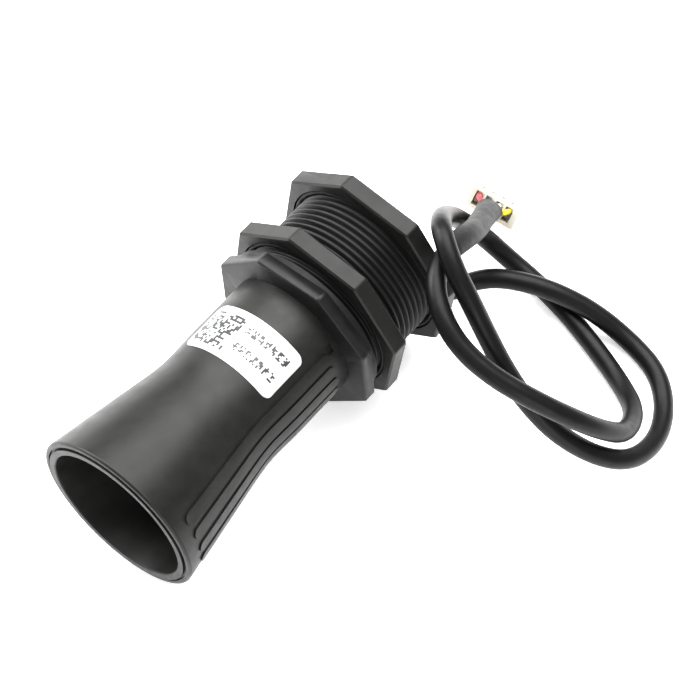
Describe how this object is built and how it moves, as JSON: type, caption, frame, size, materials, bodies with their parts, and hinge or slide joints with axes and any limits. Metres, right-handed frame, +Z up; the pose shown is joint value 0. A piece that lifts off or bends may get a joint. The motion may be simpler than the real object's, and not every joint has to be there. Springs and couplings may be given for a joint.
{
  "type": "ultrasonic distance sensor",
  "caption": "Ultrasonic distance sensor with a flared horn, a threaded shank with two octagonal lock nuts, and a cable that ends in a small white plug.",
  "frame": {"origin": "centre of the sensor's box on the surface it lies on, with the cable left out", "axes": "+Z up; the horn and the threaded shank lie along Y, with the mouth facing -Y and the cable leaving at +Y; +X is to the right seen from the mouth"},
  "size_m": [0.0939, 0.124, 0.0481],
  "materials": {
    "horn_plastic": "fine moulded texture",
    "housing_plastic": "fine moulded texture",
    "nut_plastic": "moulded, softly worn edges",
    "label_paper": null,
    "can_metal": "drawn cup",
    "piezo_ceramic": "silvered ceramic",
    "foam": "open foam",
    "silicone": "cast silicone",
    "seal_rubber": "satin",
    "gland_rubber": "satin",
    "potting_resin": "cast resin",
    "board_laminate": "solder mask",
    "chip_plastic": "moulded package",
    "ferrite": "sintered",
    "copper_wire": "enamelled",
    "tinned_metal": "tinned",
    "capacitor_can": "drawn can",
    "ceramic_body": "ceramic",
    "resistor_body": "ceramic with glaze",
    "cable_jacket": "satin PVC",
    "shrink_sleeve": "shrunk polyolefin",
    "insulation_red": "satin PVC",
    "insulation_black": "satin PVC",
    "insulation_white": "satin PVC",
    "insulation_yellow": "satin PVC",
    "plug_nylon": "natural nylon"
  },
  "bodies": {
    "sensor": {"horn": "horn_plastic", "label": "label_paper", "transducer_can": "can_metal", "piezo_disc": "piezo_ceramic", "foam_damper": "foam", "transducer_backing": "silicone", "isolation_sleeve": "seal_rubber", "transducer_leads": "tinned_metal", "housing": "housing_plastic", "neck_o_ring": "seal_rubber", "panel_gasket": "seal_rubber", "rear_cap": "housing_plastic", "rear_potting": "potting_resin", "cable_gland": "gland_rubber", "circuit_board": "board_laminate", "microcontroller": "chip_plastic", "amplifier_chip": "chip_plastic", "transformer_core": "ferrite", "transformer_winding": "copper_wire", "crystal": "tinned_metal", "electrolytic_capacitor": "capacitor_can", "capacitors": "ceramic_body", "resistors": "resistor_body", "inner_wires": "insulation_red", "cable": "cable_jacket", "heat_shrink": "shrink_sleeve", "wire_red": "insulation_red", "wire_black": "insulation_black", "wire_white": "insulation_white", "wire_yellow": "insulation_yellow", "connector_housing": "plug_nylon", "crimp_terminals": "tinned_metal"},
    "front_seal": {"front_nut_seal": "seal_rubber"},
    "front_nut": {"front_lock_nut": "nut_plastic"},
    "rear_seal": {"rear_nut_seal": "seal_rubber"},
    "rear_nut": {"rear_lock_nut": "nut_plastic"}
  },
  "joints": [
    {"name": "front_nut_travel", "type": "slide", "parent": "sensor", "child": "front_seal", "axis": [0, 1, 0], "range_m": [-0.00195, 0.006]},
    {"name": "front_nut_turn", "type": "hinge", "parent": "front_seal", "child": "front_nut", "pos_m": [0, 0.022, 0.0212], "axis": [0, 1, 0], "range_deg": [-450, 1440]},
    {"name": "rear_nut_travel", "type": "slide", "parent": "sensor", "child": "rear_seal", "axis": [0, 1, 0], "range_m": [-0.006, 0.0012]},
    {"name": "rear_nut_turn", "type": "hinge", "parent": "rear_seal", "child": "rear_nut", "pos_m": [0, 0.0389, 0.0212], "axis": [0, 1, 0], "range_deg": [-1440, 270]}
  ],
  "couplings": [
    {"joint": "front_nut_travel", "follows": "front_nut_turn", "m_per_rad": 0.00023873},
    {"joint": "rear_nut_travel", "follows": "rear_nut_turn", "m_per_rad": 0.00023873}
  ]
}
